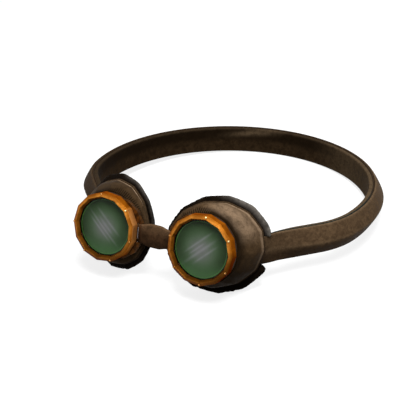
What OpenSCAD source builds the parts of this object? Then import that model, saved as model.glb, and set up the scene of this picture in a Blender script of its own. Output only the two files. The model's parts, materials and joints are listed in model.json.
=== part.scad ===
// Round-eye leather goggles: two screw-ring eye cups, a leather bridge and a padded head strap.
// The row stands on the lower rims of its two face cushions and on the back of its strap.
// Millimetres; +Z up, the lenses face -Y, the strap runs back along +Y.

/* [Lens and retaining ring] */
// Distance between the two lens centres
eye_spacing = 64.8; // [60:0.2:72]
// Diameter of the glass
lens_d = 36; // [32:0.5:38]
// Thickness of the glass
lens_t = 2.2; // [1.6:0.1:2.6]
// Radius of the glass's gently domed faces
lens_dome_r = 220; // [150:10:600]
// How far the ring's lip covers the glass, at a corner of the opening
lens_cover = 0.55; // [0.4:0.05:0.9]
// Number of flats round the retaining ring
ring_sides = 13; // [8:1:18]
// Wall of the ring at the middle of a flat
ring_wall = 1.05; // [0.9:0.05:1.6]
// Front-to-back depth of the ring
ring_depth = 6.35; // [6:0.05:7]
// Depth of the ring's outer bevel
ring_bevel = 1.1; // [0.6:0.1:1.6]
// How far the ridge lies inside the ring's corners
ridge_inset = 1.9; // [1.5:0.1:2.2]
// Width of the flat land along the ridge
ridge_land = 0.3; // [0.2:0.05:0.5]
// Depth of the ring's lip, from the ridge to its inner face
lip_depth = 3; // [2.8:0.1:3.2]
// Grip studs on each ring
stud_count = 6; // [4:1:6]
// Diameter of a grip stud
stud_d = 1.2; // [0.8:0.1:1.5]
// Thickness of the slip washer between lip and glass
washer_t = 0.3; // [0.2:0.05:0.5]
// Thickness of the rubber gasket behind the glass
gasket_t = 0.6; // [0.4:0.1:0.8]

/* [Collar] */
// Wall of the collar outside the glass
collar_wall = 1.1; // [0.9:0.05:1.4]
// Step that the gasket rests on
seat_step = 2.3; // [1.5:0.1:3]
// Thickness of the base flange
flange_t = 2.4; // [2.2:0.1:3]
// How far the round flange stands out past the thread
flange_rim = 1; // [0.8:0.1:1.4]
// Radius of the nose ledge, at the middle of a flat
ledge_r = 18.35; // [17:0.1:19]
// How far the ledge reaches past the bridge pin
ledge_lip = 3.5; // [2.5:0.1:4]
// Height of the notch for the bridge
notch_h = 11.8; // [10:0.2:12.4]
// Diameter of the steel bridge pin
pin_d = 1; // [0.8:0.1:1.2]
// Length of the bridge pin
pin_l = 16; // [15:0.5:17]
// Radial wall of the clamp ring behind the leather
clamp_wall = 1.2; // [0.8:0.1:1.2]
// Thickness of the clamp ring
clamp_t = 1.6; // [1.2:0.1:2]

/* [Leather eye cups] */
// Height of the lens centres above the middle of the strap
eye_height = 8.7; // [6:0.1:10]
// Upward tilt of the cups from the plane of the strap
eye_pitch = 12.4; // [8:0.2:15]
// Thickness of the leather
cup_wall = 2; // [1.6:0.1:2.2]
// Radius where the cup turns from its front to its side
shoulder_r = 21.4; // [21:0.1:22]
// Width of the rim, measured in its own plane
rim_w = 56; // [54:0.5:60]
// Height of the rim
rim_h = 50; // [48:0.5:54]
// Turn of the rim's plane, back towards the temple
rim_yaw = 20.3; // [18:0.1:24]
// Lean of the rim's plane, top backwards
rim_lean = 3.5; // [0:0.5:6]
// How far the rim's centre is set towards the temple
rim_shift = 1.3; // [0:0.1:1.5]
// Depth of the rim behind the ridge, on the nose side
nose_depth = 9.7; // [9.4:0.1:11]
// How flat the leather's sides are between the ring's corners, from round to flat
side_flatness = 0.8; // [0:0.1:1]
// Roundness of the cup's flank
cup_belly = 1.5; // [0:0.1:2.5]
// Radius of the piped welt round the rim
welt_r = 0.95; // [0.7:0.05:1.2]

/* [Face cushions] */
// Flare of the cushion beyond the rim, at the temple
pad_flare = 5.6; // [4:0.1:6]
// Flare of the cushion beyond the rim, beside the nose
pad_flare_nose = 2.4; // [1.5:0.1:4]
// Extra flare along the cheek
pad_flare_cheek = 0.9; // [0:0.1:1.2]
// Slope of the cushion's outer side beside the nose
pad_slope = 0.8; // [0.4:0.05:1]
// Thickness of the cushion from the welt to the face
pad_t = 9.2; // [7:0.2:11]
// How far the cushion reaches inside the rim
pad_inner = 10.4; // [9:0.1:11]

/* [Bridge] */
// Thickness of the folded bridge leather
bridge_t = 2.5; // [2:0.1:2.8]
// Height of the bridge at its middle
bridge_h = 14; // [12:0.2:15]
// Leather left round each pin
loop_wall = 0.5; // [0.4:0.05:0.6]
// Height of the window that shows the pin
window_h = 7.2; // [4:0.2:8]

/* [Head strap] */
// Height of the strap
strap_h = 18.8; // [16:0.2:21]
// Thickness of the strap along its edges
strap_edge = 4.8; // [4.4:0.1:6]
// How far the padded outer face swells past the edges
strap_swell = 5.3; // [2:0.1:6]
// Thickness of the outer leather
cover_t = 1.8; // [1.4:0.1:2]
// Thickness of the lining leather
lining_t = 1.2; // [1:0.1:1.5]
// Radius of the loop round the back of the head
head_r = 93; // [86:0.5:98]
// Distance from the lenses' plane back to the strap's middle line
back_y = 198.9; // [190:0.5:210]
// Radius of the bend behind the temple
temple_r = 50; // [40:1:60]
// Length of the straight run to the cup
temple_run = 26; // [24:0.2:28]
// Radius of the bend beside the cup
cup_bend_r = 25; // [20:1:30]
// Length of the tab inside the cup, with the run beside the cushion
tab_l = 23; // [20:0.5:24]
// How much the tab is thinned where it is stitched into the cup
tab_skive = 0.9; // [0.4:0.05:1.1]
// How far the lining's edges lie inside the cover's edges
lining_step = 0.4; // [0.3:0.05:0.6]
// Radius of the piping along both seams
piping_r = 0.45; // [0.35:0.05:0.5]

/* [Clearances] */
// Radial play of the screw ring on the collar's thread
running_gap = 0.05; // [0.03:0.01:0.08]
// Play of the glass in its seat, and of a leather hole round its tube
seat_gap = 0.1; // [0.05:0.01:0.2]
// Axial play of the slip washer on each side
washer_gap = 0.05; // [0.02:0.01:0.1]
// Play between ring and flange when screwed home
home_gap = 0.15; // [0.1:0.05:0.3]
// Room left between a soft piece and its neighbour
soft_gap = 0.3; // [0.2:0.05:0.5]

/* [Hidden] */
$fn = 96;
around = 4*ring_sides;   // steps round a cup, welt or cushion
cut = 0.01;         // overshoot of a cut past a face

// Radii, from the glass outwards
lens_r = lens_d/2;
seat_r = lens_r + seat_gap;
thread_r = seat_r + collar_wall;
ring_flat_r = thread_r + running_gap + ring_wall;
ring_r = ring_flat_r/cos(180/ring_sides);
ridge_r = ring_r - ridge_inset;
opening_r = lens_r - lens_cover;
washer_in_r = opening_r + seat_gap;
bore_r = seat_r - seat_step;
tail_r = thread_r - flange_rim - 0.3;
stud_r = stud_d/2;
stud_ring_r = (ring_r + ridge_r)/2;

// Depths behind the ridge, from the front backwards
washer_front = lip_depth + washer_gap;
lens_front = washer_front + washer_t + washer_gap;
gasket_front = lens_front + lens_t;
seat_depth = gasket_front + gasket_t;
collar_front = lens_front + washer_t;
flange_front = ring_depth + home_gap;
flange_back = flange_front + flange_t;
clamp_front = flange_back + cup_wall;
collar_back = clamp_front + clamp_t + 0.6;

// The bridge pin lies in the notch, behind the ring
pin_r = pin_d/2;
loop_r = pin_r + loop_wall;
pin_out = thread_r + seat_gap + 0.15 + loop_r;
pin_depth = flange_front + flange_t/2;
ledge_reach = pin_out + ledge_lip;

// The rim's plane
rim_a = rim_w/2;
rim_b = rim_h/2;
rim_depth = nose_depth + rim_a*sin(rim_yaw);
rim_x = [cos(rim_yaw), sin(rim_yaw), 0];
rim_z = [0, sin(rim_lean), cos(rim_lean)];
rim_back = cross(rim_z, rim_x)/norm(cross(rim_z, rim_x));
pad_front = 2*welt_r + 2*seat_gap;

// The strap's middle line, worked out from the back of the head to the tab.
// A heading is measured from +Y, outwards.
head_from = 12;
temple_from = 41;
tab_from = 18;
head_c = back_y - head_r;
head_p = [head_r*cos(head_from), head_c - head_r*sin(head_from)];
temple_c = head_p - temple_r*[cos(head_from), -sin(head_from)];
temple_p = temple_c + temple_r*[cos(temple_from), -sin(temple_from)];
run_p = temple_p - temple_run*[sin(temple_from), cos(temple_from)];
bend_c = run_p + cup_bend_r*[cos(temple_from), -sin(temple_from)];
tab_p = bend_c - cup_bend_r*[cos(tab_from), -sin(tab_from)];
bend_l = cup_bend_r*(temple_from - tab_from)*PI/180;
temple_l = temple_r*(temple_from - head_from)*PI/180;
run_s = tab_l + bend_l;
temple_s = run_s + temple_run;
head_s = temple_s + temple_l;
lining_s = tab_l + 1;
core_s = lining_s + 5;
edge_r = strap_edge/2;
seam = edge_r - cover_t;
crest_z = -0.2;
groove = 2.45*piping_r;
temple_axis_z = eye_height - (rim_depth + rim_a*sin(rim_yaw))*sin(eye_pitch);
tab_curve_r = 21;

// Points of the middle line, each [x, y, normal x, normal y, distance from the tab's end]
function on_arc(c, r, h, side, s) = [c.x + side*r*cos(h), c.y - side*r*sin(h), cos(h), -sin(h), s];
half_path = concat(
    [for (k = [0:4]) let(s = tab_l*k/5)
        [tab_p.x - (tab_l - s)*sin(tab_from), tab_p.y - (tab_l - s)*cos(tab_from),
            cos(tab_from), -sin(tab_from), s]],
    [for (k = [0:4]) let(h = tab_from + (temple_from - tab_from)*k/4)
        on_arc(bend_c, cup_bend_r, h, -1, tab_l + bend_l*k/4)],
    [for (k = [1:4]) let(p = run_p + (temple_p - run_p)*k/5)
        [p.x, p.y, cos(temple_from), -sin(temple_from), run_s + temple_run*k/5]],
    [for (k = [0:6]) let(h = temple_from + (head_from - temple_from)*k/6)
        on_arc(temple_c, temple_r, h, 1, temple_s + temple_l*k/6)],
    [for (k = [1:16]) let(h = head_from + (-90 - head_from)*k/16)
        on_arc([0, head_c], head_r, h, 1, head_s + head_r*(head_from + 90)*k/16*PI/180)]);
path_n = len(half_path);
full_path = concat(half_path,
    [for (k = [path_n - 2:-1:0]) let(e = half_path[k]) [-e[0], e[1], -e[2], e[3], e[4]]]);

function ease(t) = let(u = min(1, max(0, t))) u*u*(3 - 2*u);
function swell(s) = strap_swell*ease((s - 20)/35);
function inner_p(s) = let(t = ease((s - lining_s)/20)) (seam - lining_t)*(1 - t) - edge_r*t;
function bow(s, z) = -(1 - ease((s - 14)/14))*pow(z - temple_axis_z, 2)/(2*tab_curve_r);
function top_z(s) = let(t = ease(s/14)) (temple_axis_z + 6)*(1 - t) + strap_h/2*t;
function low_z(s) = let(t = ease(s/14)) (temple_axis_z - 6)*(1 - t) - strap_h/2*t;
function dome_rise(r) = sqrt(pow(lens_dome_r, 2) - r*r) - sqrt(pow(lens_dome_r, 2) - lens_r*lens_r);
function crown(s, z) = let(half = z > crest_z ? top_z(s) - crest_z : crest_z - low_z(s))
    swell(s)*(1 - pow(abs(z - crest_z)/half, 1.25));

// Cross-sections of the strap, each a ring of [outward, up]
levels = [0.22, 0.5, 0.78];
core_fill = 0.88;
function level(s, t) = low_z(s) + (top_z(s) - low_z(s))*t;
function cover_ring(s) = let(a = low_z(s), b = top_z(s), f = edge_r - tab_skive*(1 - ease((s - 13)/11)))
    concat([[seam, a + groove], [min(f, seam + groove), a], [f, a]],
        [for (t = levels) let(z = level(s, t)) [f + crown(s, z), z]],
        [[f, b], [min(f, seam + groove), b], [seam, b - groove]],
        [for (k = [2:-1:0]) let(z = level(s, levels[k])) [seam + crown(s, z), z]]);
function lining_ring(s) = let(g = groove - lining_step, a = low_z(s) + lining_step,
    b = top_z(s) - lining_step, i = inner_p(s), f = i + lining_t)
    [[i, a], [seam - g, a], [seam, a + g], [seam, a + lining_t], [f, a + lining_t],
        [f, b - lining_t], [seam, b - lining_t], [seam, b - g], [seam - g, b], [i, b]];
function core_ring(s) = let(a = low_z(s) + lining_step + lining_t + cut, b = top_z(s) - lining_step - lining_t - cut,
    i = inner_p(s) + lining_t + cut)
    concat([[i, a], [seam - cut, a]],
        [for (t = levels) let(z = level(s, t)) [seam - cut + core_fill*crown(s, z), z]],
        [[seam - cut, b], [i, b]]);
function piping_ring(s, up) = let(z = up > 0 ? top_z(s) : low_z(s), c = z - up*piping_r)
    [for (k = [0:5]) [seam + piping_r*0.97*cos(60*k), c + piping_r*0.97*sin(60*k)]];
function passage_ring(s) = let(a = low_z(s) - soft_gap, b = top_z(s) + soft_gap,
    i = min(seam, s < lining_s - 3 ? seam : inner_p(s)) - soft_gap)
    concat([[i, a], [12, a], [12, b]], [for (t = [1, 0.75, 0.5, 0.25]) [i - 0.05*sin(180*t), a + (b - a)*t]]);

// Turns a path and a ring of [outward, up] into points
function swept(path, rings) = [for (k = [0:len(path) - 1], j = [len(rings[k]) - 1:-1:0])
    let(e = path[k], q = rings[k][j], p = q.x + bow(e[4], q.y)) [e[0] + p*e[2], e[1] + p*e[3], q.y]];

// Faces of a tube of n rings with m points each; a closed one joins its last ring to its first
function tube_faces(n, m, closed) = concat(
    [for (i = [0:n - (closed ? 1 : 2)], j = [0:m - 1], h = [0, 1])
        let(a = i*m + j, b = i*m + (j + 1)%m, c = ((i + 1)%n)*m + (j + 1)%m, d = ((i + 1)%n)*m + j)
        h == 0 ? [a, c, b] : [a, d, c]],
    closed ? [] : [[for (j = [0:m - 1]) j], [for (j = [m - 1:-1:0]) (n - 1)*m + j]]);

module strap_sweep(path, rings) {
    polyhedron(swept(path, rings), tube_faces(len(path), len(rings[0]), false), convexity = 8);
}

// Points of the rim and of the pieces that follow it, in an eye's own frame:
// x out to the temple, y back from the ridge, z up. The sides follow the ring's flats.
function sided(a) = let(half = 180/ring_sides, turn = a - 2*half*floor(a/(2*half)),
    flat = cos(half)/cos(turn - half)/(1 + cos(half))*2)
    1 + side_flatness*(flat - 1);
function rim_point(a, out, back) = let(da = (rim_a + out)*sided(a), db = (rim_b + out)*sided(a))
    [rim_shift, rim_depth, 0] + da*cos(a)*rim_x + db*sin(a)*rim_z + back*rim_back;
function on_circle(a, r, depth) = [r*cos(a), depth, r*sin(a)];
function cup_ring(a) = let(
    s = on_circle(a, shoulder_r*sided(a), flange_back + 0.7), g = rim_point(a, 0, 0),
    si = on_circle(a, (shoulder_r - cup_wall)*sided(a), clamp_front), gi = rim_point(a, -cup_wall, 0),
    belly = [cup_belly*cos(a), 0, cup_belly*sin(a)])
    concat([on_circle(a, tail_r + seat_gap, flange_back), on_circle(a, (shoulder_r - 0.9)*sided(a), flange_back)],
        [for (t = [0, 0.25, 0.5, 0.75, 1]) s + (g - s)*t + belly*sin(180*t)],
        [for (t = [1, 0.66, 0.33, 0]) si + (gi - si)*t + belly*sin(180*t)],
        [on_circle(a, tail_r + seat_gap, clamp_front)]);
function welt_ring(a) = [for (k = [0:5])
    rim_point(a, -0.2 + welt_r*cos(60*k), seat_gap + welt_r*(1 + sin(60*k)))];
function pad_ring(a) = let(
    near_nose = pow((1 - cos(a))/2, 1.5),
    f = pad_flare - (pad_flare - pad_flare_nose)*near_nose - pad_flare_cheek*min(0, sin(a)),
    lean = pad_slope*(0.35 + 0.65*near_nose), i = -pad_inner, t = pad_t, widest = 0.14)
    [for (q = [[i + 2.6, 0], [-2, 0], [f - 2.4, 0], [f - 0.7, 0.04], [f, widest], [f - 0.4, 0.38],
        [f - 1.6, 0.66], [f - 4, 0.92], [i + 4.2, 1], [i + 1.2, 0.82], [i, 0.5], [i + 0.7, 0.18]])
        let(out = q.x > i + 6 ? max(i + 6, q.x - lean*t*max(0, q.y - widest)) : q.x)
        rim_point(a, out, pad_front + q.y*t)];

module rim_loft(ring_points) {
    polyhedron([for (r = ring_points) each r],
        tube_faces(len(ring_points), len(ring_points[0]), true), convexity = 8);
}

// How the worn goggles stand: on both cushions and the back of the strap
function worn(p) = [p.x, p.y*cos(eye_pitch) + p.z*sin(eye_pitch),
    eye_height - p.y*sin(eye_pitch) + p.z*cos(eye_pitch)];
pad_points = [for (a = [200:7.5:340]) for (p = pad_ring(a)) worn(p)];
strap_foot = [back_y + edge_r, -strap_h/2];
rest_tilt = max([for (p = pad_points) atan2(strap_foot.y - p.z, strap_foot.x - p.y)]);
foot_cut = 0.5;
floor_z = strap_foot.y*cos(rest_tilt) - strap_foot.x*sin(rest_tilt) + foot_cut;
front_y = -ring_r*sin(eye_pitch + rest_tilt) + eye_height*sin(rest_tilt);
rear_y = (back_y + edge_r + strap_swell)*cos(rest_tilt);
mid_y = (front_y + rear_y)/2;

module stood() {
    translate([0, -mid_y, -floor_z]) rotate([-rest_tilt, 0, 0]) children();
}
module on_floor() {
    difference() {
        stood() children();
        translate([0, 0, -50]) cube([400, 400, 100], center = true);
    }
}
// Places an eye's own frame, for side -1 (left) or 1 (right) as seen from in front
module front() {
    translate([0, 0, eye_height]) rotate([-eye_pitch, 0, 0]) children();
}
module eye(side) {
    front() translate([side*eye_spacing/2, 0, 0]) mirror([side < 0 ? 1 : 0, 0, 0]) children();
}
module along_axis() {
    rotate([-90, 0, 0]) children();
}
function corners(r) = [for (k = [0:ring_sides - 1]) r*[cos(360*k/ring_sides), sin(360*k/ring_sides)]];
module flats(r, h) {
    linear_extrude(h) polygon(corners(r));
}
module flared_flats(r1, r2, h) {
    linear_extrude(h, scale = r2/r1) polygon(corners(r1));
}
module tube(r_out, r_in, from, to) {
    translate([0, 0, from]) difference() {
        cylinder(r = r_out, h = to - from);
        translate([0, 0, -cut]) cylinder(r = r_in, h = to - from + 2*cut);
    }
}
module stud_places(first) {
    for (k = [0:stud_count - 1]) rotate(360*(first + 2*k)/ring_sides)
        translate([stud_ring_r, 0, 0]) children();
}

module lens_ring(side) {
    color([0.72, 0.43, 0.14]) stood() eye(side) along_axis() difference() {
        union() {
            flared_flats(ridge_r, ring_r, ring_bevel);
            translate([0, 0, ring_bevel]) flats(ring_r, ring_depth - ring_bevel);
        }
        translate([0, 0, -cut]) flared_flats(ridge_r - ridge_land, opening_r, lip_depth + 2*cut);
        translate([0, 0, lip_depth]) cylinder(r = thread_r + running_gap, h = ring_depth);
        stud_places(side < 0 ? 0 : 10) cylinder(r = stud_r, h = lip_depth - 0.8);
    }
}
module ring_studs(side) {
    color([0.93, 0.8, 0.55]) stood() eye(side) along_axis() stud_places(side < 0 ? 0 : 10) {
        translate([0, 0, ring_bevel/2 - 0.2]) sphere(r = stud_r, $fn = 24);
        translate([0, 0, ring_bevel/2 - 0.2]) cylinder(r = stud_r, h = lip_depth - 0.8 - ring_bevel/2 + 0.2);
    }
}
module slip_washer(side) {
    color([0.55, 0.42, 0.3]) stood() eye(side) along_axis()
        tube(lens_r, washer_in_r, washer_front, washer_front + washer_t);
}
module lens(side) {
    color([0.25, 0.42, 0.25, 0.7]) stood() eye(side) along_axis() rotate_extrude()
        polygon(concat([[0, gasket_front], [lens_r, gasket_front]],
            [for (k = [8:-1:0]) [lens_r*k/8, lens_front - dome_rise(lens_r*k/8)]]));
}
module lens_gasket(side) {
    color([0.08, 0.08, 0.08]) stood() eye(side) along_axis()
        tube(lens_r, bore_r + seat_gap, gasket_front, seat_depth);
}
module collar(side) {
    color([0.62, 0.36, 0.1]) stood() eye(side) along_axis() difference() {
        union() {
            translate([0, 0, collar_front]) cylinder(r = thread_r, h = flange_back - collar_front);
            difference() {
                translate([0, 0, flange_front]) {
                    cylinder(r = thread_r + flange_rim, h = flange_t);
                    translate([ledge_r - ledge_reach, 0, 0]) flats(ledge_r/cos(180/ring_sides), flange_t);
                }
                translate([-50, 0, flange_front + flange_t/2])
                    cube([100 - 2*thread_r/2, notch_h, flange_t + 2*cut], center = true);
            }
            translate([0, 0, flange_back]) cylinder(r = tail_r, h = collar_back - flange_back);
        }
        translate([0, 0, collar_front - cut]) cylinder(r = seat_r, h = seat_depth - collar_front + cut);
        translate([0, 0, collar_front]) cylinder(r = bore_r, h = collar_back);
        translate([-pin_out, 0, pin_depth]) rotate([90, 0, 0]) cylinder(r = pin_r, h = pin_l, center = true, $fn = 32);
    }
}
module bridge_pin(side) {
    color([0.6, 0.62, 0.65]) stood() eye(side) translate([-pin_out, pin_depth, 0])
        cylinder(r = pin_r, h = pin_l, center = true, $fn = 32);
}
module clamp_ring(side) {
    color([0.55, 0.56, 0.58]) stood() eye(side) along_axis()
        tube(tail_r + clamp_wall, tail_r, clamp_front, clamp_front + clamp_t);
}
module cup(side) {
    color([0.42, 0.34, 0.27]) stood() eye(side)
        rim_loft([for (k = [0:around - 1]) cup_ring(360*k/around)]);
}
module cup_welt(side) {
    color([0.55, 0.46, 0.38]) stood() eye(side)
        rim_loft([for (k = [0:around - 1]) welt_ring(360*k/around)]);
}
module strap_passage() {
    steps = [for (e = half_path) if (e[4] > 4 && e[4] < 50) e];
    strap_sweep(steps, [for (e = steps) passage_ring(e[4])]);
}
module face_cushion(side) {
    color([0.12, 0.1, 0.08]) on_floor() difference() {
        eye(side) rim_loft([for (k = [0:around - 1]) pad_ring(360*k/around)]);
        mirror([side < 0 ? 1 : 0, 0, 0]) strap_passage();
    }
}
module nose_bridge() {
    reach = eye_spacing/2 - pin_out;
    straight = loop_r + 0.3;
    lead = straight + 1.2;
    face = pin_depth - loop_r - 0.9;
    half_h = notch_h/2 - soft_gap;
    color([0.36, 0.29, 0.22]) stood() front() difference() {
        intersection() {
            translate([0, 0, -bridge_h/2]) linear_extrude(bridge_h) union() {
                for (side = [-1, 1]) translate([side*reach, pin_depth]) circle(r = loop_r, $fn = 32);
                polygon([[-reach, pin_depth - loop_r], [-reach + straight, pin_depth - loop_r],
                    [-reach + lead, face], [reach - lead, face], [reach - straight, pin_depth - loop_r],
                    [reach, pin_depth - loop_r], [reach, pin_depth + loop_r],
                    [reach - straight, pin_depth + loop_r], [reach - lead, face + bridge_t],
                    [-reach + lead, face + bridge_t], [-reach + straight, pin_depth + loop_r],
                    [-reach, pin_depth + loop_r]]);
            }
            rotate([-90, 0, 0]) linear_extrude(2*pin_depth) polygon([
                [-reach - 2*loop_r, -half_h], [-reach + lead, -half_h], [-3, -bridge_h/2], [3, -bridge_h/2],
                [reach - lead, -half_h], [reach + 2*loop_r, -half_h], [reach + 2*loop_r, half_h],
                [reach - lead, half_h], [3, bridge_h/2], [-3, bridge_h/2], [-reach + lead, half_h],
                [-reach - 2*loop_r, half_h]]);
        }
        for (side = [-1, 1]) translate([side*reach, pin_depth, 0]) {
            cylinder(r = pin_r + running_gap, h = bridge_h + 2, center = true, $fn = 32);
            translate([side*loop_r, 0, 0]) cube([2*loop_r, 3*loop_r, window_h], center = true);
        }
    }
}
module strap_cover() {
    color([0.38, 0.3, 0.23]) on_floor() difference() {
        strap_sweep(full_path, [for (e = full_path) cover_ring(e[4])]);
        for (side = [-1, 1]) eye(side) along_axis() translate([0, 0, clamp_front - soft_gap])
            cylinder(r = tail_r + clamp_wall + soft_gap, h = clamp_t + 2*soft_gap);
    }
}
module strap_lining(side) {
    steps = [for (e = half_path) if (e[4] >= lining_s) e];
    color([0.22, 0.17, 0.12]) stood() mirror([side < 0 ? 1 : 0, 0, 0])
        strap_sweep(steps, [for (e = steps) lining_ring(e[4])]);
}
module strap_core() {
    steps = [for (e = full_path) if (e[4] >= core_s) e];
    color([0.7, 0.65, 0.55]) on_floor() strap_sweep(steps, [for (e = steps) core_ring(e[4])]);
}
module strap_piping(up) {
    steps = [for (e = full_path) if (e[4] >= lining_s) e];
    color([0.16, 0.18, 0.15]) on_floor() strap_sweep(steps, [for (e = steps) piping_ring(e[4], up)]);
}

lens_ring(-1);  // left_lens_ring
ring_studs(-1);  // left_ring_studs
slip_washer(-1);  // left_slip_washer
lens(-1);  // left_lens
lens_gasket(-1);  // left_lens_gasket
collar(-1);  // left_collar
bridge_pin(-1);  // left_bridge_pin
clamp_ring(-1);  // left_clamp_ring
cup(-1);  // left_cup
cup_welt(-1);  // left_cup_welt
face_cushion(-1);  // left_face_cushion
strap_lining(-1);  // left_strap_lining
lens_ring(1);  // right_lens_ring
ring_studs(1);  // right_ring_studs
slip_washer(1);  // right_slip_washer
lens(1);  // right_lens
lens_gasket(1);  // right_lens_gasket
collar(1);  // right_collar
bridge_pin(1);  // right_bridge_pin
clamp_ring(1);  // right_clamp_ring
cup(1);  // right_cup
cup_welt(1);  // right_cup_welt
face_cushion(1);  // right_face_cushion
strap_lining(1);  // right_strap_lining
nose_bridge();
strap_cover();
strap_core();
strap_piping(1);  // strap_piping_top
strap_piping(-1);  // strap_piping_bottom
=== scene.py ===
import json
import math
from functools import partial

import bmesh
import bpy
import numpy as np
from mathutils import Matrix


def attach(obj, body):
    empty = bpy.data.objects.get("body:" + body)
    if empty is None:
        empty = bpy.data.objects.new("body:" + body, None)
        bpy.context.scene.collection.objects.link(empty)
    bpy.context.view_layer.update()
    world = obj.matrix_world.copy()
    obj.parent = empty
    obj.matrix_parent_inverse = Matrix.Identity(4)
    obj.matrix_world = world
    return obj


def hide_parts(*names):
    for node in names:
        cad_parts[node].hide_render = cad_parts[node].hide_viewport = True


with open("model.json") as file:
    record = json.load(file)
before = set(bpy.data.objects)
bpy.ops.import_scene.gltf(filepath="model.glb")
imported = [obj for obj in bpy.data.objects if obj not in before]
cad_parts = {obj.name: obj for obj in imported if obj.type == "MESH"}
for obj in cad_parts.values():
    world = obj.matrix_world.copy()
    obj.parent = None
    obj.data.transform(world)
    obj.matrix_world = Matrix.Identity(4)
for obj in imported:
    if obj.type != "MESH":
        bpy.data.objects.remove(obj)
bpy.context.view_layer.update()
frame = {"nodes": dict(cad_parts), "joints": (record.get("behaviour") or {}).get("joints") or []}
MM = 0.001

# Where the goggles stand. Each eye has its own axes, out to the temple, back from the lens and up, which
# come from the axis that its brass ring turns about. The strap's axes are level with the strap's band:
# the cups tilt up from it, and the whole leans back a little, because the strap's back lies lower.
EYE_TILT = math.radians(12.4)
EYE_HEIGHT = 8.7 * MM
turn_axis = {j["child"].split("_")[0]: j for j in frame["joints"] if j["type"] == "hinge"}
SIDES = {"left": -1, "right": 1}
ACROSS = np.array([1.0, 0.0, 0.0])
BACK = -np.array(turn_axis["right"]["axis"])
UP = np.cross(ACROSS, BACK)
eye_middle = {side: np.array(turn_axis[side]["pos_m"]) for side in SIDES}
EYE_APART = eye_middle["right"][0]
STRAP_BACK = BACK * math.cos(EYE_TILT) + UP * math.sin(EYE_TILT)
STRAP_UP = UP * math.cos(EYE_TILT) - BACK * math.sin(EYE_TILT)
strap_middle = eye_middle["right"] - EYE_APART * ACROSS - EYE_HEIGHT * STRAP_UP


def at_eye(side, out, back, up):
    """The lens's middle plus each distance times its axis, with out towards that eye's temple."""
    places = np.stack(np.broadcast_arrays(out, back, up), -1)
    return eye_middle[side] + places @ np.array([SIDES[side] * ACROSS, BACK, UP])


def at_strap(across, back, up):
    """The strap's middle plus each distance times its axis."""
    places = np.stack(np.broadcast_arrays(across, back, up), -1)
    return strap_middle + places @ np.array([ACROSS, STRAP_BACK, STRAP_UP])


# Camera, floor and light. A long lens looks from the goggles' left front corner, as the wearer sees it, and
# from above. The floor is plain pale paper. A soft lamp high on the right is the strongest of three, and
# the white surroundings fill the shade.
LENS_TURN = math.radians(27.63)
LENS_RISE = math.radians(24.77)
LENS_FAR = 633.35 * MM
LENS_AIM = np.array([4.97, 66.5, 1.04]) * MM
FRAME_PIXELS = 420
FOCAL_PIXELS = 1001.33
SENSOR = 36.0


def new_object(name, data):
    """A new object with its data, in the scene."""
    made = bpy.data.objects.new(name, data)
    bpy.context.scene.collection.objects.link(made)
    return made


def pose(*columns):
    """A matrix from three axes and a place."""
    turned = np.eye(4)
    turned[:3] = np.stack(columns, 1)
    return Matrix(turned.tolist())


away = at_strap(math.sin(LENS_TURN) * math.cos(LENS_RISE), -math.cos(LENS_TURN) * math.cos(LENS_RISE),
                math.sin(LENS_RISE)) - strap_middle
sideways = at_strap(math.cos(LENS_TURN), math.sin(LENS_TURN), 0.0) - strap_middle
camera = new_object("camera", bpy.data.cameras.new("camera"))
camera.data.sensor_width = SENSOR
camera.data.lens = FOCAL_PIXELS * SENSOR / FRAME_PIXELS
camera.data.clip_start = 0.01
camera.matrix_world = pose(sideways, np.cross(away, sideways), away, at_strap(*LENS_AIM) + LENS_FAR * away)
bpy.context.scene.camera = camera
bpy.context.scene.view_settings.view_transform = "Standard"


def colour(code):
    """An sRGB hex colour as linear red, green, blue and alpha."""
    s = np.array([int(code[k:k + 2], 16) for k in (1, 3, 5)]) / 255
    return (*np.where(s <= 0.04045, s / 12.92, ((s + 0.055) / 1.055) ** 2.4).tolist(), 1.0)


def add_node(tree, kind, sockets=(), **settings):
    """Adds a node with its settings. Its inputs are set to values or linked to other nodes, in the order in
    which they stand, or by name where sockets is a dict. Below, add is this function for one tree."""
    node = tree.nodes.new("ShaderNode" + kind)
    for key, value in settings.items():
        setattr(node, key, value)
    free = [s for s in node.inputs if s.enabled]
    for key, value in sockets.items() if isinstance(sockets, dict) else enumerate(sockets):
        found = free[key] if isinstance(key, int) else next(s for s in free if s.name == key)
        if isinstance(value, bpy.types.Node):
            value = next(s for s in value.outputs if s.enabled)
        if isinstance(value, bpy.types.NodeSocket):
            tree.links.new(value, found)
        else:
            found.default_value = value
    return node


def material(name):
    """A new material, what adds its nodes, and the object's coordinates, in which its patterns lie."""
    made = bpy.data.materials.new(name)
    made.use_nodes = True
    made.node_tree.nodes.clear()
    add = partial(add_node, made.node_tree)
    return made, add, add("TexCoord").outputs["Object"]


def seen(add):
    """1 for what the camera sees, also in gloss and through glass, and 0 for what only lights things."""
    path = add("LightPath")
    rays = ("Is Camera Ray", "Is Glossy Ray", "Is Transmission Ray")
    straight, glossy, through = (path.outputs[ray] for ray in rays)
    either = add("Math", [straight, glossy], operation="MAXIMUM")
    return add("Math", [either, through], operation="MAXIMUM")


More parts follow.
